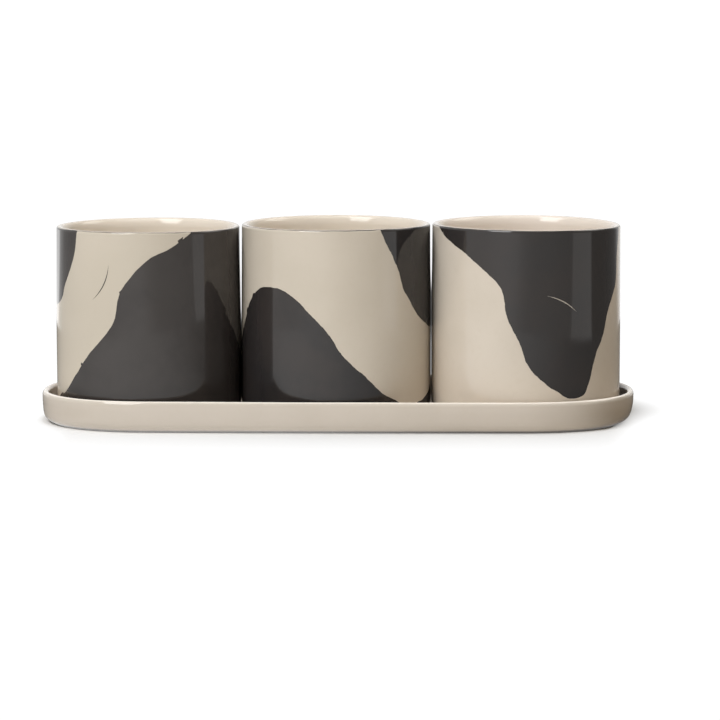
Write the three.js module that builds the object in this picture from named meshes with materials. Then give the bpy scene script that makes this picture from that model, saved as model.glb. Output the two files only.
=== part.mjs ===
// Three slip-cast cylinder plant pots standing in a row on one long oval drip tray.
// Millimetres, +Z up. Origin: centre of the tray's footprint, on the surface that it stands on.
// +X runs along the row to the right, +Y away from the front.
//
// Four separate castings: the tray and three loose pots. Each pot is a thick-walled cylinder with a
// very slight barrel, a full-round lip, a recessed base with a foot ring, and a round drain hole.
// The tray is a shallow dish: flat floor, soft inner corner, upstand with a full-round lip, foot ring.

import * as THREE from 'three';

// ---------------------------------------------------------------- driving dimensions (mm)
const POT = {
  wall: 5.0,            // wall thickness below the lip
  barrelHeight: 65,     // the narrowing starts this far under the rim
  base: 6.0,            // thickness of the base between recess and inside floor
  recess: 2.0,          // depth of the recess under the base
  footInner: 43.0,      // inner radius of the foot ring's flat
  footOuterInset: 6.4,  // from the belly's radius to the foot ring's flat
  drainR: 6.0,          // radius of the drain hole
  segments: 48,
};
const POTS = [
  // name, belly radius, how much smaller the rim's radius is, centre x, overall height from its own foot
  { name: 'pot_left', R: 58.5, barrel: 0.65, x: -119.7, H: 118.5, color: 0xcabfaa },
  { name: 'pot_middle', R: 60.0, barrel: 0.5, x: -0.9, H: 120.0, color: 0xcdc2ad },
  { name: 'pot_right', R: 59.7, barrel: 0.4, x: 119.0, H: 119.9, color: 0xcdc2ad },
];
const TRAY = {
  halfLength: 187.4,    // over the widest line, just under the lip
  halfDepth: 67.6,      // at the middle of the long sides
  capLength: 74.2,      // length of each rounded end
  capPower: 2.24,       // superellipse exponent of the ends (2 = ellipse)
  bow: 1.78,            // how far the long sides bulge at the middle
  height: 19.6,
  floorTop: 4.6,
  recess: 0.8,          // depth of the recess under the floor, inside the foot ring
  capSegments: 18,      // per quarter of the outline
  sideSegments: 4,      // per half of a long side
};
const REST_GAP = 0.3;   // pot foot above the tray's floor

// ---------------------------------------------------------------- pots
// Closed profile (radius, height above the foot), running outwards underneath, up the outside,
// over the lip, down the inside and back through the drain hole.
function potProfile(R, H, barrel) {
  const Rr = R - barrel;                     // radius at the rim
  const Ri = Rr - POT.wall;                  // inside radius at the rim
  const floor = POT.recess + POT.base;
  const foot = R - POT.footOuterInset;
  const at = (h) => R - barrel * Math.min(1, Math.max(0, (h - (H - POT.barrelHeight)) / POT.barrelHeight));
  return [
    [POT.drainR, POT.recess],
    [POT.footInner - 2.0, POT.recess],
    [POT.footInner, 0],
    [foot, 0],
    [R - 3.6, 0.7],
    [R - 1.6, 2.4],
    [R - 0.5, 5.2],
    [R - 0.05, 11],
    [R, 40],
    [at(H - 40), H - 40],
    [at(H - 18), H - 18],
    [Rr - 0.04, H - 3.4],
    [Rr - 0.45, H - 0.9],
    [Rr - 1.5, H],
    [Rr - 3.5, H - 1.3],
    [Ri - 0.1, H - 4.2],
    [Ri + 0.15, H - 18],
    [Ri + 0.5, 46],
    [R - POT.wall - 0.35, floor + 5.5],
    [R - POT.wall - 1.0, floor + 2.8],
    [R - POT.wall - 2.5, floor + 0.9],
    [R - POT.wall - 4.8, floor],
    [POT.drainR, floor],
    [POT.drainR, POT.recess],
  ].map(([x, y]) => new THREE.Vector2(x, y));
}

function pot({ name, R, barrel, x, H, color }) {
  const g = new THREE.LatheGeometry(potProfile(R, H, barrel), POT.segments);
  g.rotateX(Math.PI / 2);                    // the lathe's own axis is Y; stand it up along Z
  const m = new THREE.Mesh(g, new THREE.MeshStandardMaterial({ color, roughness: 0.12, metalness: 0 }));
  m.name = name;
  m.position.set(x, 0, TRAY.floorTop + REST_GAP);
  return m;
}

// ---------------------------------------------------------------- tray
// Outline of the widest line, as points with their outward normals, starting at +X and running
// anticlockwise seen from above. The ends are superellipse quarters, the long sides bow out a little.
function trayOutline() {
  const { halfLength: A, halfDepth: W, capLength: E, capPower: n, bow } = TRAY;
  const side = (x) => (W - bow) + bow * (1 - (x / A) ** 2);
  const quarter = [];
  for (let i = 0; i <= TRAY.capSegments; i++) {
    const t = (i / TRAY.capSegments) * (Math.PI / 2);
    const c = Math.max(0, Math.cos(t)), s = Math.max(0, Math.sin(t));
    const x = (A - E) + E * c ** (2 / n);
    const y = i === 0 ? 0 : (side(x) * s ** (2 / n));
    quarter.push([x, y]);
  }
  for (let i = 1; i <= TRAY.sideSegments; i++) {
    const x = (A - E) * (1 - i / TRAY.sideSegments);
    quarter.push([x, side(x)]);
  }
  const q = quarter.slice(0, -1);            // without the middle of the long side
  const mid = quarter[quarter.length - 1];
  const pts = [
    ...q,
    mid,
    ...q.slice(1).reverse().map(([x, y]) => [-x, y]),
    ...q.map(([x, y]) => [-x, -y]),
    [mid[0], -mid[1]],
    ...q.slice(1).reverse().map(([x, y]) => [x, -y]),
  ];
  const N = pts.length;
  return pts.map(([x, y], i) => {
    const [ax, ay] = pts[(i + N - 1) % N], [bx, by] = pts[(i + 1) % N];
    let nx = by - ay, ny = -(bx - ax);
    const l = Math.hypot(nx, ny);
    return { x, y, nx: nx / l, ny: ny / l };
  });
}

// Profile of the tray as (inset from the widest line, height); null inset is the centre of the dish.
function trayProfile() {
  const h = TRAY.height, f = TRAY.floorTop, r = TRAY.recess;
  return [
    [null, r],
    [13.4, r],
    [12.2, 0],
    [7.1, 0],
    [5.9, 0.58],
    [4.6, 1.24],
    [3.35, 2.1],
    [2.3, 3.15],
    [1.5, 4.6],
    [0.92, 6.6],
    [0.42, 9.6],
    [0.05, 13.4],
    [0.0, 16.0],
    [0.35, 18.3],
    [2.2, h],
    [3.9, 18.9],
    [4.6, 17.1],
    [4.9, 10.6],
    [5.6, 7.2],
    [7.4, 5.2],
    [10.4, f],
    [null, f],
  ];
}

// The wall was drawn a little askew as it dried: its lower part sits slightly to the left.
const skew = (z) => -0.9 * Math.max(0, 1 - z / 12) ** 1.2;

// The dish is a lathe whose rings are carried out from a circle to offsets of the oval outline.
function tray() {
  const outline = trayOutline();
  const N = outline.length;
  const profile = trayProfile();
  const reach = 30;                          // radius of the plain lathe that is carried out
  const lathe = new THREE.LatheGeometry(
    profile.map(([inset, z]) => new THREE.Vector2(inset === null ? 0 : reach - inset, z)), N);
  const P = lathe.attributes.position;
  const rows = profile.length;
  for (let i = 0; i <= N; i++) {
    const o = outline[i % N];
    for (let j = 0; j < rows; j++) {
      const [inset, z] = profile[j];
      const k = i * rows + j;
      if (inset === null) P.setXYZ(k, 0, 0, z);
      else P.setXYZ(k, o.x - inset * o.nx + (inset < 30 ? skew(z) : 0), o.y - inset * o.ny, z);
    }
  }
  lathe.computeVertexNormals();
  const m = new THREE.Mesh(lathe, new THREE.MeshStandardMaterial({ color: 0xcfc3ad, roughness: 0.12, metalness: 0 }));
  m.name = 'tray';
  return m;
}

// ---------------------------------------------------------------- assembly
const group = new THREE.Group();
group.add(tray());
for (const p of POTS) group.add(pot(p));

export default group;
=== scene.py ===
import math

import bpy
import numpy as np
from mathutils import Matrix, Vector


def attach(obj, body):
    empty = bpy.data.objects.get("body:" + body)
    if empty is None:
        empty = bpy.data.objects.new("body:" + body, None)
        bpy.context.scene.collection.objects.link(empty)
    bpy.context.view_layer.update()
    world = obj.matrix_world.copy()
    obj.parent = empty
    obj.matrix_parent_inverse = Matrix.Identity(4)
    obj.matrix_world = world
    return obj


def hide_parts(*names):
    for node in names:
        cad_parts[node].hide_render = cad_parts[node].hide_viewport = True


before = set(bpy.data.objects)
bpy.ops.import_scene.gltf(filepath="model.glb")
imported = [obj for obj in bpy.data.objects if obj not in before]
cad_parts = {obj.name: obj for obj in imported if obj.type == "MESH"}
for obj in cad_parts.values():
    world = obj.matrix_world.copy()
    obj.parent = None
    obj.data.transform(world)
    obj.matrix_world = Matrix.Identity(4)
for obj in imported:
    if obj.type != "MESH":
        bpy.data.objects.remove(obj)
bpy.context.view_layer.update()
MM = 0.001

# =============================================================================== camera
# Low, slightly to the right of the middle, long lens.
def add_camera():
    yaw, pitch, roll = -0.019900, -0.126599, -0.001018
    f = Vector((math.sin(yaw) * math.cos(pitch), math.cos(yaw) * math.cos(pitch), math.sin(pitch)))
    r = Vector((math.cos(yaw), -math.sin(yaw), 0.0))
    u = r.cross(f)
    r2 = math.cos(roll) * r + math.sin(roll) * u
    u2 = -math.sin(roll) * r + math.cos(roll) * u
    cam = bpy.data.cameras.new("camera")
    cam.sensor_width = 36.0
    cam.lens = 36.0 * 3151.2 / 720.0
    cam.clip_start, cam.clip_end = 0.05, 60.0
    ob = bpy.data.objects.new("camera", cam)
    bpy.context.scene.collection.objects.link(ob)
    loc = Vector((0.05364, -1.98360, 0.29007))
    ob.matrix_world = Matrix((
        (r2.x, u2.x, -f.x, loc.x),
        (r2.y, u2.y, -f.y, loc.y),
        (r2.z, u2.z, -f.z, loc.z),
        (0, 0, 0, 1)))
    bpy.context.scene.camera = ob


add_camera()

# =============================================================================== node helpers
class Sock:
    """A socket with arithmetic, so that formulas read as formulas."""
    def __init__(self, tree, s):
        self.t, self.s = tree, s

    def _m(self, op, *others, clamp=False):
        n = self.t.nodes.new("ShaderNodeMath")
        n.operation = op
        n.use_clamp = clamp
        for i, o in enumerate((self,) + others):
            put(self.t, o, n.inputs[i])
        return Sock(self.t, n.outputs[0])

    def __add__(self, o): return self._m("ADD", o)
    def __radd__(self, o): return self._m("ADD", o)
    def __sub__(self, o): return self._m("SUBTRACT", o)
    def __rsub__(self, o): return num(self.t, o)._m("SUBTRACT", self)
    def __mul__(self, o): return self._m("MULTIPLY", o)
    def __rmul__(self, o): return self._m("MULTIPLY", o)
    def __truediv__(self, o): return self._m("DIVIDE", o)
    def __neg__(self): return self._m("MULTIPLY", -1.0)
    def gt(self, o): return self._m("GREATER_THAN", o)
    def lt(self, o): return self._m("LESS_THAN", o)
    def sin(self): return self._m("SINE")
    def cos(self): return self._m("COSINE")
    def abs(self): return self._m("ABSOLUTE")
    def sqrt(self): return self._m("SQRT")
    def max(self, o): return self._m("MAXIMUM", o)
    def min(self, o): return self._m("MINIMUM", o)
    def pow(self, o): return self._m("POWER", o)
    def clamp(self): return self._m("ADD", 0.0, clamp=True)
    def atan2(self, o): return self._m("ARCTAN2", o)

    def ramp(self, lo, hi, a=0.0, b=1.0, smooth=True):
        """Maps lo..hi to a..b, clamped."""
        n = self.t.nodes.new("ShaderNodeMapRange")
        n.interpolation_type = "SMOOTHSTEP" if smooth else "LINEAR"
        n.clamp = True
        put(self.t, self, n.inputs[0])
        for k, v in zip((1, 2, 3, 4), (lo, hi, a, b)):
            put(self.t, v, n.inputs[k])
        return Sock(self.t, n.outputs[0])


def num(tree, v):
    n = tree.nodes.new("ShaderNodeValue")
    n.outputs[0].default_value = v
    return Sock(tree, n.outputs[0])


def put(tree, value, socket):
    if isinstance(value, Sock):
        tree.links.new(value.s, socket)
    elif isinstance(value, bpy.types.NodeSocket):
        tree.links.new(value, socket)
    else:
        socket.default_value = value


def noise(tree, vec, scale, detail=2.0, rough=0.5, seed=0.0, dist=0.0):
    n = tree.nodes.new("ShaderNodeTexNoise")
    n.noise_dimensions = "4D"
    put(tree, vec, n.inputs["Vector"])
    n.inputs["W"].default_value = seed
    n.inputs["Scale"].default_value = scale
    n.inputs["Detail"].default_value = detail
    n.inputs["Roughness"].default_value = rough
    n.inputs["Distortion"].default_value = dist
    return Sock(tree, n.outputs["Fac"])


def mix_rgb(tree, fac, a, b, mode="MIX"):
    n = tree.nodes.new("ShaderNodeMix")
    n.data_type = "RGBA"
    n.blend_type = mode
    put(tree, fac, n.inputs[0])
    put(tree, a, n.inputs[6])
    put(tree, b, n.inputs[7])
    return n.outputs[2]


def mixf(a, b, f):
    """a where f is 0, b where f is 1."""
    return a + (b - a) * f


def combine(tree, x, y, z):
    n = tree.nodes.new("ShaderNodeCombineXYZ")
    for i, v in enumerate((x, y, z)):
        put(tree, v, n.inputs[i])
    return n.outputs[0]


def curve(tree, x, points, sharp=()):
    """Float curve through (x, y) points in 0..1."""
    n = tree.nodes.new("ShaderNodeFloatCurve")
    c = n.mapping.curves[0]
    while len(c.points) > 2:
        c.points.remove(c.points[1])
    pts = sorted(points)
    c.points[0].location = pts[0]
    c.points[1].location = pts[-1]
    for p in pts[1:-1]:
        c.points.new(*p)
    for i, p in enumerate(c.points):
        p.handle_type = "VECTOR" if i in sharp else "AUTO"
    n.mapping.update()
    put(tree, x, n.inputs["Value"])
    return Sock(tree, n.outputs[0])


# =============================================================================== meshes
def grid_mesh(name, rings, attrs, closed_profile, cap_ends=False):
    """rings: array (P, N, 3), profile steps by angle steps. attrs: name -> array (P,)."""
    P, N, _ = rings.shape
    verts = rings.reshape(-1, 3)
    faces = []
    last = P if closed_profile else P - 1
    for p in range(last):
        a, b = p * N, ((p + 1) % P) * N
        for i in range(N):
            j = (i + 1) % N
            faces.append((a + i, a + j, b + j, b + i))
    verts = [tuple(v) for v in verts]
    extra = []
    if cap_ends:                     # a fan to the centre at each end of the profile
        for ring, up in ((0, False), (P - 1, True)):
            c = rings[ring].mean(0)
            k = len(verts)
            verts.append(tuple(c))
            extra.append(ring)
            for i in range(N):
                j = (i + 1) % N
                a, b = ring * N + i, ring * N + j
                faces.append((a, b, k) if up else (b, a, k))
    me = bpy.data.meshes.new(name)
    me.from_pydata(verts, [], faces)
    me.validate()
    for key, vals in attrs.items():
        at = me.attributes.new(key, "FLOAT", "POINT")
        full = np.repeat(np.asarray(vals, np.float32), N)
        if extra:
            full = np.concatenate([full, [vals[r] for r in extra]])
        at.data.foreach_set("value", full.astype(np.float32))
    me.polygons.foreach_set("use_smooth", [True] * len(me.polygons))
    me.update()
    ob = bpy.data.objects.new(name, me)
    bpy.context.scene.collection.objects.link(ob)
    return ob


def fair(points, step, rounds=0):
    """Catmull-Rom through points, resampled every step (mm); returns the points."""
    p = np.array(points, float)
    ext = np.vstack([2 * p[0] - p[1], p, 2 * p[-1] - p[-2]])
    out = []
    for i in range(1, len(ext) - 2):
        p0, p1, p2, p3 = ext[i - 1], ext[i], ext[i + 1], ext[i + 2]
        d = np.linalg.norm(p2 - p1)
        n = max(2, int(math.ceil(d / step)))
        # centripetal parameters, so that uneven spacing doesn't overshoot
        t0 = 0.0
        t1 = t0 + max(1e-6, np.linalg.norm(p1 - p0)) ** 0.5
        t2 = t1 + max(1e-6, d) ** 0.5
        t3 = t2 + max(1e-6, np.linalg.norm(p3 - p2)) ** 0.5
        for k in range(n):
            t = t1 + (t2 - t1) * k / n
            a1 = (t1 - t) / (t1 - t0) * p0 + (t - t0) / (t1 - t0) * p1
            a2 = (t2 - t) / (t2 - t1) * p1 + (t - t1) / (t2 - t1) * p2
            a3 = (t3 - t) / (t3 - t2) * p2 + (t - t2) / (t3 - t2) * p3
            b1 = (t2 - t) / (t2 - t0) * a1 + (t - t0) / (t2 - t0) * a2
            b2 = (t3 - t) / (t3 - t1) * a2 + (t - t1) / (t3 - t1) * a3
            out.append((t2 - t) / (t2 - t1) * b1 + (t - t1) / (t2 - t1) * b2)
    out.append(p[-1])
    return np.array(out)


def arc_round(cx, cz, rx, rz, a0, a1, n):
    """Points of an elliptic arc, degrees, 0 = +r, 90 = up."""
    t = np.radians(np.linspace(a0, a1, n))
    return [(cx + rx * math.cos(a), cz + rz * math.sin(a)) for a in t]


# ------------------------------------------------------------------------------- pots
FLOOR_TOP = 4.6
REST_GAP = 0.3
POT_Z = FLOOR_TOP + REST_GAP
POTS = {
    "pot_left": dict(R=58.5, barrel=0.65, x=-119.7, H=118.5, tilt=0.0, lean=0.0, near=((90, ((-5, 0.135), (49, 0.135), (58, 0.06), (67, 0.0))),), seed=1.0, oval=(0.10, 0.6), wave=(0.16, 3.6), dark=(0.0425, 0.0365, 0.0335, 1), cream=(0.92, 0.92, 0.925)),
    "pot_middle": dict(R=60.0, barrel=0.48, x=-0.9, H=120.0, tilt=0.0, lean=0.05, near=((-90, ((-5, 0.13), (49, 0.13), (58, 0.06), (67, 0.0))), (90, ((44, 0.0), (57, 0.075), (67, 0.145), (77, 0.21), (84, 0.10), (93, 0.0)))), seed=2.0, oval=(0.09, 2.2), wave=(0.12, 0.2), dark=(0.0240, 0.0218, 0.0218, 1), cream=(0.96, 0.96, 0.975)),
    "pot_right": dict(R=59.7, barrel=0.40, x=119.0, H=119.9, tilt=-0.4, lean=0.15, near=((-90, ((44, 0.0), (57, 0.075), (67, 0.145), (77, 0.21), (84, 0.10), (93, 0.0))),), seed=3.0, oval=(0.08, 4.0), wave=(0.10, 2.7), dark=(0.0295, 0.0265, 0.0260, 1), cream=(1.045, 1.045, 1.08)),
}
BARREL_H, WALL, BASE, RECESS = 65.0, 5.0, 6.0, 2.0
FOOT_IN, DRAIN_R = 43.0, 6.0
LIP_OUT, LIP_OUT_Z = 1.35, 1.5      # outer shoulder of the lip
LIP_IN, LIP_IN_Z = 2.9, 6.2        # softer inner shoulder


def pot_profile(R, H, barrel):
    Rr = R - barrel
    crest = Rr - LIP_OUT
    Ri = Rr - WALL

    def outer(h):
        t = min(1.0, max(0.0, (h - (H - BARREL_H)) / BARREL_H))
        return R - barrel * (t * t * (3 - 2 * t) * 0.35 + t * 0.65)

    floor = RECESS + BASE
    foot = R - 6.4
    # outside, from the crest of the lip down to the foot
    out = arc_round(crest, H - LIP_OUT_Z, LIP_OUT, LIP_OUT_Z, 90, 8, 15)
    out = [(x if h > H - LIP_OUT_Z + 0.3 else outer(h), h) for x, h in out]
    out += [(outer(h), h) for h in (H - 1.7, H - 2.2, H - 3.1)]     # keeps the wall straight up to the lip's shoulder
    for h in np.linspace(H - 4.2, 11.0, 46):
        out.append((outer(h), h))
    out += fair([(R - 0.02, 9.0), (R - 0.25, 6.6), (R - 0.95, 4.1), (R - 2.1, 2.1), (R - 3.7, 0.75), (R - 5.2, 0.16), (foot, 0.0)], 0.45).tolist()
    n_out = len(out)
    # under the foot
    under = [(foot - 2.0, 0.0), (foot - 5.0, 0.0), (FOOT_IN + 1.0, 0.0)]
    under += fair([(FOOT_IN + 0.35, 0.05), (FOOT_IN - 0.35, 0.55), (FOOT_IN - 1.1, 1.5), (FOOT_IN - 2.0, 1.93), (FOOT_IN - 3.2, 2.0)], 0.35).tolist()
    under += [(x, RECESS) for x in (34.0, 26.0, 18.0, 11.0, 8.0)]
    under += [(DRAIN_R + 0.9, RECESS), (DRAIN_R + 0.3, RECESS + 0.18), (DRAIN_R + 0.05, RECESS + 0.6)]
    # drain hole and inside floor
    hole = [(DRAIN_R, RECESS + 1.5), (DRAIN_R, floor - 2.6), (DRAIN_R + 0.12, floor - 1.3), (DRAIN_R + 0.55, floor - 0.45), (DRAIN_R + 1.4, floor - 0.06)]
    hole += [(x, floor) for x in (9.5, 14.0, 20.0, 28.0, 36.0, 43.0)]
    inner_R = R - WALL
    fil = fair([(inner_R - 5.0, floor), (inner_R - 3.6, floor + 0.28), (inner_R - 2.0, floor + 1.3), (inner_R - 0.95, floor + 2.9), (inner_R - 0.45, floor + 5.2), (inner_R - 0.3, floor + 8.5)], 0.6).tolist()
    ins = []
    for h in np.linspace(floor + 12.0, H - LIP_IN_Z - 2.0, 34):
        t = (h - floor) / (H - floor)
        ins.append((inner_R - 0.3 - (inner_R - 0.3 - Ri) * t ** 1.2, h))
    lip = arc_round(Ri + LIP_IN, H - LIP_IN_Z, LIP_IN, LIP_IN_Z, 178, 96, 22)
    prof = np.array(out + under + hole + fil + ins + lip)
    seg = np.linalg.norm(np.diff(prof, axis=0), axis=1)
    s = np.concatenate([[0.0], np.cumsum(seg)])
    n_inside = len(out) + len(under) + len(hole) - 6
    s_back = s - (s[-1] + np.linalg.norm(prof[0] - prof[-1]))   # measured back from the crest, negative
    arc = np.where(np.arange(len(prof)) < n_inside, s, s_back)
    arc = np.clip(arc, -40.0, None)
    return prof, arc


def make_pot(name, N=288):
    c = POTS[name]
    R, H = c["R"], c["H"]
    prof, arc = pot_profile(R, H, c["barrel"])
    th = np.arange(N) * 2 * math.pi / N
    k_h = np.clip(prof[:, 1] / H, 0, 1)
    oval = c["oval"][0] * np.cos(2 * (th - c["oval"][1])) + 0.05 * np.cos(3 * (th + c["oval"][1]))
    wave = 0.22 * np.cos(2 * th) + c["tilt"] * np.sin(th) + c["wave"][0] * np.sin(2 * th + c["wave"][1]) + 0.05 * np.sin(3 * th + 2.0 * c["wave"][1])
    r = prof[:, 0][:, None] + (0.25 + 0.75 * k_h ** 2)[:, None] * oval[None, :] * (prof[:, 0] > 20)[:, None]
    for deg, steps in c["near"]:                         # where a wall all but touches its neighbour
        off = np.abs((th - math.radians(deg) + math.pi) % (2 * math.pi) - math.pi)
        swell = np.interp(prof[:, 1], [h for h, _ in steps], [a for _, a in steps]) * (prof[:, 0] > R - 4.0)
        r = r + swell[:, None] * np.exp(-(off / 0.30) ** 2)[None, :]
    z = prof[:, 1][:, None] + (k_h ** 6)[:, None] * wave[None, :]
    rings = np.stack([c["x"] + (c["lean"] * k_h ** 3)[:, None] + r * np.sin(th)[None, :], -r * np.cos(th)[None, :] + 0 * z, POT_Z + z], axis=2) * MM
    # angle grows from the front (-Y) towards +X, profile runs down the outside first
    ob = grid_mesh(name + "_glazed", rings, {"arc": arc * MM}, closed_profile=True)
    return ob


# ------------------------------------------------------------------------------- tray
TA, TW, TE, TN, TBOW, TH = 187.4, 67.6, 74.2, 2.24, 1.78, 19.6


def tray_outline(nq=56, ns=20):
    """Widest line of the tray, anticlockwise from +X."""
    side = lambda x: (TW - TBOW) + TBOW * (1 - (x / TA) ** 2)
    t = np.linspace(0, math.pi / 2, nq + 1)
    ex = (TA - TE) + TE * np.abs(np.cos(t)) ** (2 / TN)
    ey = side(ex) * np.abs(np.sin(t)) ** (2 / TN)
    sx = np.linspace(TA - TE, 0, ns + 1)[1:]
    qx, qy = np.concatenate([ex, sx]), np.concatenate([ey, side(sx)])
    # dense, then even spacing along the line
    X = np.concatenate([qx, -qx[::-1][1:], -qx[1:], qx[::-1][1:-1]])
    Y = np.concatenate([qy, qy[::-1][1:], -qy[1:], -qy[::-1][1:-1]])
    return X, Y


def even_closed(X, Y, n):
    P = np.stack([np.append(X, X[0]), np.append(Y, Y[0])], 1)
    s = np.concatenate([[0], np.cumsum(np.linalg.norm(np.diff(P, axis=0), axis=1))])
    u = np.linspace(0, s[-1], n + 1)[:-1]
    return np.interp(u, s, P[:, 0]), np.interp(u, s, P[:, 1])


def tray_profile():
    """(inset from the widest line, height), from the middle underneath round to the middle of the floor."""
    under = [(46.0, 0.8), (32.0, 0.8), (20.0, 0.8)]
    under += fair([(15.2, 0.8), (14.2, 0.72), (13.4, 0.40), (12.8, 0.08), (12.2, 0.0)], 0.4).tolist()
    foot = [(10.8, 0.0), (9.4, 0.0), (8.2, 0.0)]
    outer = fair([(7.2, 0.02), (6.8, 0.14), (5.9, 0.58), (4.6, 1.24), (3.35, 2.10), (2.3, 3.15), (1.5, 4.6), (0.92, 6.6), (0.45, 9.6), (0.1, 13.4), (0.05, 17.1)], 0.4).tolist()
    lip = arc_round(2.2, 17.1, 2.13, 2.5, 4, 176, 30)
    lip = [(4.4 - x, z) for x, z in lip]            # inset grows inwards
    inner = fair([(4.42, 16.4), (4.62, 14.0), (4.8, 11.2), (5.05, 8.9), (5.7, 6.9), (6.9, 5.55), (8.6, 4.82), (10.8, 4.6)], 0.6).tolist()
    floor = [(13.0, 4.6), (18.0, 4.6), (28.0, 4.6), (40.0, 4.6)]
    parts = [under, foot, outer, lip, inner, floor]
    prof = np.array(sum(parts, []))
    crest = len(under) + len(foot) + len(outer) + len(lip) // 2
    s = np.concatenate([[0.0], np.cumsum(np.linalg.norm(np.diff(prof, axis=0), axis=1))])
    return prof, s[crest] - s


def make_tray(N=720):
    X, Y = tray_outline(160, 60)
    X, Y = even_closed(X, Y, N)
    nx = np.roll(Y, -1) - np.roll(Y, 1)
    ny = -(np.roll(X, -1) - np.roll(X, 1))
    l = np.hypot(nx, ny)
    nx, ny = nx / l, ny / l
    for _ in range(3):
        nx = (np.roll(nx, 1) + 2 * nx + np.roll(nx, -1)) / 4
        ny = (np.roll(ny, 1) + 2 * ny + np.roll(ny, -1)) / 4
        l = np.hypot(nx, ny)
        nx, ny = nx / l, ny / l
    prof, arc = tray_profile()
    ins, z = prof[:, 0][:, None], prof[:, 1][:, None]
    ang = np.arctan2(Y, X)[None, :]
    up = np.clip(z / TH, 0, 1) ** 4
    zz = z + up * (0.10 * np.sin(2 * ang + 0.7) + 0.06 * np.sin(5 * ang + 2.0))
    wob = up * (0.10 * np.sin(3 * ang + 1.3) + 0.06 * np.cos(4 * ang)) * (ins < 12)
    lean = -0.9 * np.clip(1 - z / 12.0, 0, 1) ** 1.2 * (ins < 30)
    rings = np.stack([X - (ins - wob) * nx + lean, Y - (ins - wob) * ny, zz + 0 * X[None, :]], axis=2) * MM
    return grid_mesh("tray_glazed", rings, {"arc": arc * MM}, closed_profile=False, cap_ends=True)


# =============================================================================== materials
CREAM = (0.62, 0.555, 0.458, 1)
CREAM_B = (0.59, 0.528, 0.432, 1)
CREAM_DEEP = (0.52, 0.44, 0.33, 1)
CREAM_LIT_LOW = (0.66, 0.585, 0.475, 1)
LIT_LINER = (0.82, 0.737, 0.635, 1)
LIT_LINER_B = (0.78, 0.702, 0.598, 1)
LIP_SHADE = (0.50, 0.435, 0.365, 1)
POT_RECESS = 2.05
TRAY_BARE = 24.0                     # mm round the profile from the lip's crest to the foot ring
DARK = (0.0265, 0.0240, 0.0240, 1)
DARK_B = (0.034, 0.0285, 0.0265, 1)
CLAY = (0.60, 0.52, 0.43, 1)
CLAY_B = (0.50, 0.42, 0.335, 1)


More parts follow.
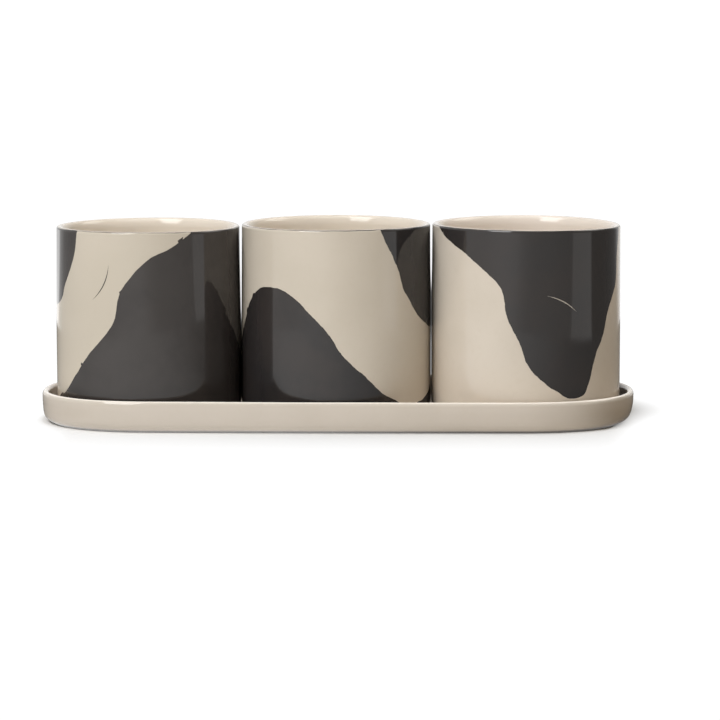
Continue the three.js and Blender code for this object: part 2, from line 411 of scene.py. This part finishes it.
def glaze_material(name, centre, seed, pattern=None, dark_tint=None, cream=(0.99, 0.99, 1.04)):
    m = bpy.data.materials.new(name)
    m.use_nodes = True
    t = m.node_tree
    for n in list(t.nodes):
        t.nodes.remove(n)
    out = t.nodes.new("ShaderNodeOutputMaterial")
    b = t.nodes.new("ShaderNodeBsdfPrincipled")
    t.links.new(b.outputs[0], out.inputs[0])
    tc = t.nodes.new("ShaderNodeTexCoord")
    mp = t.nodes.new("ShaderNodeMapping")
    mp.vector_type = "POINT"
    mp.inputs["Location"].default_value = (-centre[0] * MM, 0, -centre[1] * MM)
    t.links.new(tc.outputs["Object"], mp.inputs["Vector"])
    vec = mp.outputs[0]
    sep = t.nodes.new("ShaderNodeSeparateXYZ")
    t.links.new(vec, sep.inputs[0])
    px, py, pz = (Sock(t, sep.outputs[i]) for i in range(3))
    at = t.nodes.new("ShaderNodeAttribute")
    at.attribute_name = "arc"
    arc = Sock(t, at.outputs["Fac"]) * 1000.0           # mm from the crest of the lip, + outside
    z = pz * 1000.0                                      # mm above the foot
    # cream glaze: slow drift of tone, faint upright streaks, a few iron specks
    slow = noise(t, vec, 22.0, 2.0, 0.5, seed)
    fine = noise(t, vec, 260.0, 2.0, 0.6, seed + 3.0)
    tone = lambda c: tuple(v * k for v, k in zip(c, cream)) + (1,)
    liner_lit = lambda c: tuple(v * max(1.0, k) for v, k in zip(c, cream)) + (1,)
    col = mix_rgb(t, slow.ramp(0.35, 0.65), tone(CREAM), tone(CREAM_B))
    if pattern:                                          # painted light: paler and warmer towards the foot, standing in for light sent up from the tray
        col = mix_rgb(t, (z - (slow - 0.5) * 30.0).ramp(52.0, 10.0), col, tone(CREAM_LIT_LOW))
    col = mix_rgb(t, (fine.ramp(0.45, 0.8) * 0.10), col, CREAM_DEEP)
    # painted light: the inside is painted a shade lighter than the outside, standing in for the extra light it gets;
    # on the tray this lighter colour also runs over the crest as a painted highlight
    col = mix_rgb(t, arc.ramp(-1.0, 0.6, 1.0, 0.0) if pattern else arc.ramp(-0.5, 1.5, 1.0, 0.0), col, mix_rgb(t, slow.ramp(0.35, 0.65), liner_lit(LIT_LINER), liner_lit(LIT_LINER_B)))
    if pattern:                                          # painted shade: darker over a pot's lip
        col = mix_rgb(t, arc.abs().ramp(1.7, 0.5) * 0.75, col, LIP_SHADE)
    vo = t.nodes.new("ShaderNodeTexVoronoi")
    vo.feature = "F1"
    put(t, vec, vo.inputs["Vector"])
    vo.inputs["Scale"].default_value = 95.0
    vo.inputs["Randomness"].default_value = 1.0
    cell = t.nodes.new("ShaderNodeSeparateColor")
    t.links.new(vo.outputs["Color"], cell.inputs[0])
    chosen = Sock(t, cell.outputs[0]).gt(0.90)
    size = Sock(t, cell.outputs[1]).ramp(0, 1, 0.012, 0.035, smooth=False)
    speck = (size - Sock(t, vo.outputs["Distance"])).ramp(0.0, 0.008) * chosen
    col = mix_rgb(t, speck * 0.55, col, (0.16, 0.11, 0.075, 1))
    rough = mixf(mixf(0.035, 0.06, slow), 0.018, arc.ramp(1.0, -0.5))
    if pattern:
        dark, light = pattern(t, px, py, z, arc, vec)
        d_slow = noise(t, vec, 30.0, 3.0, 0.55, seed + 7.0)
        dcol = mix_rgb(t, d_slow.ramp(0.35, 0.7), dark_tint or DARK, DARK_B)
        col = mix_rgb(t, dark, col, dcol)
        if light is not None:
            col = mix_rgb(t, light, col, (0.50, 0.46, 0.40, 1))
    # bare clay under the foot: the glaze stops in a slightly wandering line
    edge = noise(t, vec, 120.0, 2.0, 0.5, seed + 5.0)
    grain = noise(t, vec, 1500.0, 3.0, 0.6, seed + 9.0)
    bare_from = 0.55 + (edge - 0.5) * 0.7
    bare = z.lt(bare_from)
    if pattern:                                          # the recess under a pot's base is bare too
        bare = bare.max(z.lt(POT_RECESS) * (px * px + py * py).sqrt().lt(FOOT_IN * MM))
    else:                                                # under the tray, all inside the foot ring's outer edge
        bare = arc.gt(TRAY_BARE + (edge - 0.5) * 1.4)
    clay = mix_rgb(t, grain.ramp(0.35, 0.65), CLAY, CLAY_B)
    col = mix_rgb(t, bare, col, clay)
    if not pattern:                                      # painted shadow: a dark contact line just above the foot ring, where the glaze ends and the tray meets the floor
        col = mix_rgb(t, (arc - 0.5).abs().ramp(1.6, 0.4) * 0.95, col, (0.95, 0.89, 0.80, 1))   # painted highlight: paler along the crest
        col = mix_rgb(t, arc.ramp(TRAY_BARE - 4.0, TRAY_BARE - 1.4) * arc.ramp(TRAY_BARE + 1.0, TRAY_BARE + 0.4) * px.ramp(-0.05, 0.12, 0.82, 0.62), col, (0.05, 0.042, 0.035, 1))
    rough = mixf(rough, 0.82, bare)
    put(t, col, b.inputs["Base Color"])
    put(t, rough, b.inputs["Roughness"])
    b.inputs["IOR"].default_value = 1.5
    # soft unevenness of the glaze, grain of the bare clay
    lump = noise(t, vec, 45.0, 1.0, 0.4, seed + 11.0)
    height = lump * 0.06 * (1.0 - bare) + grain * 0.05 * bare
    bump = t.nodes.new("ShaderNodeBump")
    bump.inputs["Strength"].default_value = 1.0
    bump.inputs["Distance"].default_value = 0.001
    put(t, height, bump.inputs["Height"])
    t.links.new(bump.outputs[0], b.inputs["Normal"])
    return m


def sliver(t, u, z, u0, z0, deg, length, width, bend):
    """A lens-shaped hairline: 1 inside. u, z in mm along and up the wall."""
    ca, sa = math.cos(math.radians(deg)), math.sin(math.radians(deg))
    du, dz = u - u0, z - z0
    a = (du * ca + dz * sa) / (length / 2)
    q = dz * ca - du * sa
    a2 = a * a
    body = (1.0 - a2).max(0.0) * (width / 2)
    return (body - (q - (a2 * bend)).abs()).gt(0.0)


def pot_pattern(R, H, low, high, shear, lines, lights, rim):
    """Two-tone poured slip: dark below the rolling line `low`, dark above the hanging line `high`.
    low and high are (degrees from the front, share of the height) points all round the pot."""
    def build(t, px, py, z, arc, vec):
        theta = px.atan2(-py)                            # 0 at the front, + towards +X
        u = theta * R
        n1 = noise(t, vec, 60.0, 2.0, 0.5, 21.0 + R)
        n2 = noise(t, vec, 420.0, 1.0, 0.5, 31.0 + R)
        n3 = noise(t, vec, 140.0, 0.0, 0.5, 41.0 + R)
        nick = n3.ramp(0.66, 0.74) * 0.9
        du = (n1 - 0.5) * 3.0 + (n2 - 0.5) * 0.45 + nick
        dz = (noise(t, vec, 60.0, 2.0, 0.5, 51.0 + R) - 0.5) * 3.0 + (n2 - 0.5) * 0.35 - nick
        zz = z + dz
        sh = num(t, 0.0)
        for amp, lam, ph in shear:
            sh = sh + (zz * (2 * math.pi / lam) + ph).sin() * amp
        uu = u + du + sh
        x = uu / (2 * math.pi * R) + 0.5
        x = x - x._m("FLOOR")
        hz = (zz / H + 0.2) / 1.4
        as_curve = lambda pts: [((d / 360.0) + 0.5, (h + 0.2) / 1.4) for d, h in pts]
        below = hz.lt(curve(t, x, as_curve(low)))
        above = hz.gt(curve(t, x, as_curve(high)))
        dark = below.max(above)
        for args in lines:
            dark = dark.max(sliver(t, u, z, *args))
        light = None
        for args in lights:
            s = sliver(t, u, z, *args)
            light = s if light is None else light.max(s)
        outside = arc.gt(1.0 + (noise(t, vec, 60.0, 1.0, 0.5, 71.0 + R) - 0.5) * 2.0)
        dark = dark * outside
        if light is not None:
            light = light * outside
        # thin dark line round the outer shoulder of the lip
        w = noise(t, vec, 55.0, 1.0, 0.5, 61.0 + R)
        line_w = 0.30 + (w - 0.5) * 0.5
        line = (line_w - (arc - (1.0 + (w - 0.5) * 1.2)).abs()).ramp(0.0, 0.12) * z.gt(H - 8.0)
        line = line * (theta * rim[2] + rim[3]).sin().ramp(-1.0, 1.0, rim[0], rim[1])
        dark = dark.max(line)
        return dark, light
    return build


PATTERNS = {
    "pot_left": dict(
        low=[(-180, 0.55), (-150, 0.30), (-120, 0.12), (-92, 0.06), (-66, 0.10), (-42, 0.26), (-24, 0.50), (-10, 0.72), (6, 0.86), (24, 0.93), (42, 1.02), (70, 1.14), (105, 1.16), (140, 0.95), (180, 0.55)],
        high=[(-180, 1.1), (-140, 1.05), (-112, 0.80), (-88, 0.60), (-72, 0.60), (-56, 0.74), (-44, 0.90), (-34, 1.06), (0, 1.12), (90, 1.14), (180, 1.1)],
        shear=[(3.5, 95.0, 0.4), (1.4, 41.0, 2.0)],
        lines=[(-24.0, 86.0, 62.0, 26.0, 0.7, 3.0)],
        lights=[],
        rim=(0.25, 0.85, 1.0, 1.0)),
    "pot_middle": dict(
        low=[(-180, 0.22), (-150, 0.10), (-120, 0.14), (-92, 0.30), (-72, 0.50), (-54, 0.64), (-38, 0.70), (-22, 0.66), (-8, 0.50), (6, 0.33), (20, 0.20), (36, 0.12), (54, 0.08), (74, 0.12), (104, 0.30), (140, 0.36), (180, 0.22)],
        high=[(-180, 0.70), (-150, 0.95), (-130, 1.10), (-60, 1.14), (10, 1.12), (26, 1.02), (38, 0.88), (52, 0.66), (66, 0.50), (84, 0.46), (110, 0.55), (145, 0.60), (180, 0.70)],
        shear=[(4.0, 105.0, 2.6), (1.2, 36.0, 0.5)],
        lines=[],
        lights=[],
        rim=(0.75, 1.0, 1.0, 2.2)),
    "pot_right": dict(
        low=[(-180, 0.85), (-155, 0.60), (-130, 0.30), (-105, 0.10), (-80, -0.02), (-50, -0.10), (-20, -0.12), (10, -0.12), (40, -0.10), (62, -0.02), (84, 0.12), (110, 0.34), (140, 0.62), (160, 0.82), (180, 0.85)],
        high=[(-180, 1.14), (-140, 1.12), (-100, 1.1), (-74, 1.02), (-56, 0.93), (-40, 0.86), (-24, 0.74), (-10, 0.54), (2, 0.33), (14, 0.18), (26, 0.13), (38, 0.20), (50, 0.38), (62, 0.64), (72, 0.92), (80, 1.08), (100, 1.14), (180, 1.14)],
        shear=[(3.2, 88.0, 4.4), (1.3, 33.0, 1.2)],
        lines=[],
        lights=[(22.0, 76.0, -28.0, 22.0, 0.6, -1.6)],
        rim=(0.7, 1.0, 1.0, 0.4)),
}

# =============================================================================== build the pieces
tray = make_tray()
tray.data.materials.append(glaze_material("tray_glaze", (0.0, 0.0), 0.7))
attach(tray, "tray")
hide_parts("tray")

for name, c in POTS.items():
    ob = make_pot(name)
    pat = pot_pattern(c["R"], c["H"], **PATTERNS[name])
    ob.data.materials.append(glaze_material(name + "_glaze", (c["x"], POT_Z), c["seed"], pat, c["dark"], c["cream"]))
    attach(ob, name)
    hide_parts(name)

# =============================================================================== stage and light
def plane(name, size, z):
    me = bpy.data.meshes.new(name)
    s = size / 2
    me.from_pydata([(-s, -s, z), (s, -s, z), (s, s, z), (-s, s, z)], [], [(0, 1, 2, 3)])
    ob = bpy.data.objects.new(name, me)
    bpy.context.scene.collection.objects.link(ob)
    return ob


def area(name, loc, target, w, h, radiance, color=(1, 1, 1), roll=0.0):
    l = bpy.data.lights.new(name, "AREA")
    l.shape = "RECTANGLE"
    l.size, l.size_y = w, h
    l.energy = radiance * math.pi * w * h
    l.color = color
    ob = bpy.data.objects.new(name, l)
    ob.location = loc
    d = Vector(target) - Vector(loc)
    ob.rotation_euler = (d.to_track_quat("-Z", "Y").to_matrix() @ Matrix.Rotation(math.radians(roll), 3, "Z")).to_euler()
    bpy.context.scene.collection.objects.link(ob)
    return ob


def polar(az, el, dist):
    """A point seen from the object: azimuth in degrees from the camera's side, + to the right."""
    a, e = math.radians(az), math.radians(el)
    return (math.sin(a) * math.cos(e) * dist, -math.cos(a) * math.cos(e) * dist, math.sin(e) * dist + 0.06)


# seamless pale floor, exposed to white
floor = plane("floor", 9.0, 0.0)
m = bpy.data.materials.new("floor")
m.use_nodes = True
t = m.node_tree
t.nodes.clear()
lp = t.nodes.new("ShaderNodeLightPath")
near, far = t.nodes.new("ShaderNodeBsdfDiffuse"), t.nodes.new("ShaderNodeBsdfDiffuse")
tc = t.nodes.new("ShaderNodeTexCoord")
sep = t.nodes.new("ShaderNodeSeparateXYZ")
t.links.new(tc.outputs["Object"], sep.inputs[0])
x, y = Sock(t, sep.outputs[0]), Sock(t, sep.outputs[1])
# the floor as bounce light sees it: darker and warmer to the right, with a painted shadow band of the pots there
far_c = mix_rgb(t, x.ramp(0.0, 0.40), (0.72, 0.71, 0.69, 1), (0.58, 0.54, 0.47, 1))
put(t, mix_rgb(t, x.ramp(0.15, 0.19) * x.ramp(0.37, 0.27), far_c, (0.22, 0.165, 0.10, 1)), far.inputs[0])
# the floor as the camera sees it near the tray: painted darker to the right, painted shade
put(t, mix_rgb(t, x.ramp(-0.18, 0.02), (0.86, 0.86, 0.86, 1), (0.69, 0.69, 0.69, 1)), near.inputs[0])
over = (x.abs() - 0.120).max(0.0)
yb = y - x.ramp(0.165, 0.19) * 0.045                # to the right the shadow lies further back
away = (over * over + yb * yb).sqrt() - 0.0676     # distance from the tray's outline
white = t.nodes.new("ShaderNodeEmission")
white.inputs["Strength"].default_value = 1.05
seen = t.nodes.new("ShaderNodeMixShader")          # the floor fades to the white backdrop
put(t, (away.max(0.0) / x.ramp(0.155, 0.20, 0.080, 0.024) * x.ramp(-0.215, -0.16, 24.0, 1.0)).clamp().pow(0.5), seen.inputs[0])
t.links.new(near.outputs[0], seen.inputs[1])
t.links.new(white.outputs[0], seen.inputs[2])
glow = t.nodes.new("ShaderNodeEmission")           # light that the wide table sends back up
put(t, mix_rgb(t, x.ramp(0.0, 0.3), mix_rgb(t, y.ramp(-0.09, -0.20) * y.ramp(-0.60, -0.30), (0.18, 0.18, 0.18, 1), (0.38, 0.375, 0.36, 1)), (0.03, 0.018, 0.006, 1)), glow.inputs["Color"])
sent = t.nodes.new("ShaderNodeAddShader")
t.links.new(far.outputs[0], sent.inputs[0])
t.links.new(glow.outputs[0], sent.inputs[1])
mx = t.nodes.new("ShaderNodeMixShader")
t.links.new(lp.outputs["Is Camera Ray"], mx.inputs[0])
t.links.new(sent.outputs[0], mx.inputs[1])
t.links.new(seen.outputs[0], mx.inputs[2])
o = t.nodes.new("ShaderNodeOutputMaterial")
t.links.new(mx.outputs[0], o.inputs[0])
floor.data.materials.append(m)
floor.visible_glossy = False

# what the glaze mirrors from the table around it
plate = plane("floor_mirrored", 9.0, -0.0004)
m = bpy.data.materials.new("floor_mirrored")
m.use_nodes = True
t = m.node_tree
t.nodes.clear()
tc = t.nodes.new("ShaderNodeTexCoord")
sep = t.nodes.new("ShaderNodeSeparateXYZ")
t.links.new(tc.outputs["Object"], sep.inputs[0])
x, y = Sock(t, sep.outputs[0]), Sock(t, sep.outputs[1])
az = x.atan2(-y) / (2 * math.pi) + 0.5
r = (x * x + y * y).sqrt()
as_az = lambda pts: [((d / 360.0) + 0.5, v / 1.6) for d, v in pts]
near_l = curve(t, az, as_az([(-180, 0.20), (-150, 0.12), (-135, 0.17), (-118, 0.30), (-95, 0.70), (-75, 0.95), (-45, 1.20), (-22, 1.10), (0, 0.95), (20, 0.76), (40, 0.56), (55, 0.40), (80, 0.30), (110, 0.20), (150, 0.18), (180, 0.20)])) * 1.6
far_l = curve(t, az, as_az([(-180, 0.9), (-157, 0.98), (-149, 1.18), (-143, 1.55), (-138, 1.58), (-135.2, 1.0), (-126, 0.76), (-117, 0.56), (-95, 0.72),(-75, 0.85), (-50, 0.95), (-22, 1.1), (0, 0.78), (15, 0.60), (30, 0.57), (50, 0.52), (57, 0.52), (59, 0.92), (82, 0.92), (84, 0.28), (125, 0.22), (140, 0.7), (155, 1.0), (180, 1.0)])) * 1.6
# painted shadow: what the glaze mirrors is darker beside the tray's ends
beside = (x.abs().ramp(0.17, 0.20)) * (((x * x * 0.1764) + y * y).sqrt().ramp(0.17, 0.10))
mixd = mixf(near_l, far_l, r.ramp(0.60, 0.66)) * (1.0 - beside * 0.75)
em = t.nodes.new("ShaderNodeEmission")
put(t, mixd, em.inputs["Strength"])
o = t.nodes.new("ShaderNodeOutputMaterial")
t.links.new(em.outputs[0], o.inputs[0])
plate.data.materials.append(m)
plate.visible_camera = plate.visible_diffuse = plate.visible_shadow = False

area("key", polar(-37.5, 44, 2.60), (0, 0, 0.06), 1.08, 2.30, 6.25, roll=17.0)
area("top", (-0.10, -0.55, 1.5), (0, 0, 0), 1.9, 0.9, 1.35)
area("rim", polar(105, 42, 1.60), (0, 0, 0.08), 0.9, 0.7, 3.2, (1.0, 0.96, 0.90))

w = bpy.data.worlds.new("world")
bpy.context.scene.world = w
w.use_nodes = True
t = w.node_tree
t.nodes.clear()
tc = t.nodes.new("ShaderNodeTexCoord")
sep = t.nodes.new("ShaderNodeSeparateXYZ")
t.links.new(tc.outputs["Generated"], sep.inputs[0])
dx, dy, dz = (Sock(t, sep.outputs[i]) for i in range(3))
lp = t.nodes.new("ShaderNodeLightPath")
low = mix_rgb(t, dx.ramp(-0.7, 0.8), (0.12, 0.12, 0.12, 1), (0.10, 0.085, 0.06, 1))
high = mix_rgb(t, dx.ramp(-0.7, 0.8), (0.13, 0.13, 0.13, 1), (0.25, 0.23, 0.20, 1))
soft = mix_rgb(t, dz.ramp(0.80, 0.96), mix_rgb(t, dz.ramp(0.1, 0.5), low, high), (0.30, 0.29, 0.27, 1))
az = dx.atan2(-dy) / (2 * math.pi) + 0.5
gl = curve(t, az, as_az([(-180, 1.0), (-150, 1.0), (-120, 0.8), (-60, 0.9), (-20, 0.7), (10, 0.5), (50, 0.4), (90, 0.25), (125, 0.25), (150, 0.9), (180, 1.0)])) * 1.6
glc = combine(t, gl, gl, gl)
c1 = mix_rgb(t, Sock(t, lp.outputs["Is Glossy Ray"]), soft, glc)
c2 = mix_rgb(t, Sock(t, lp.outputs["Is Camera Ray"]), c1, (1.3, 1.3, 1.3, 1))
bg = t.nodes.new("ShaderNodeBackground")
put(t, c2, bg.inputs[0])
o = t.nodes.new("ShaderNodeOutputWorld")
t.links.new(bg.outputs[0], o.inputs[0])

bpy.context.scene.view_settings.view_transform = "Standard"
bpy.context.scene.view_settings.look = "None"
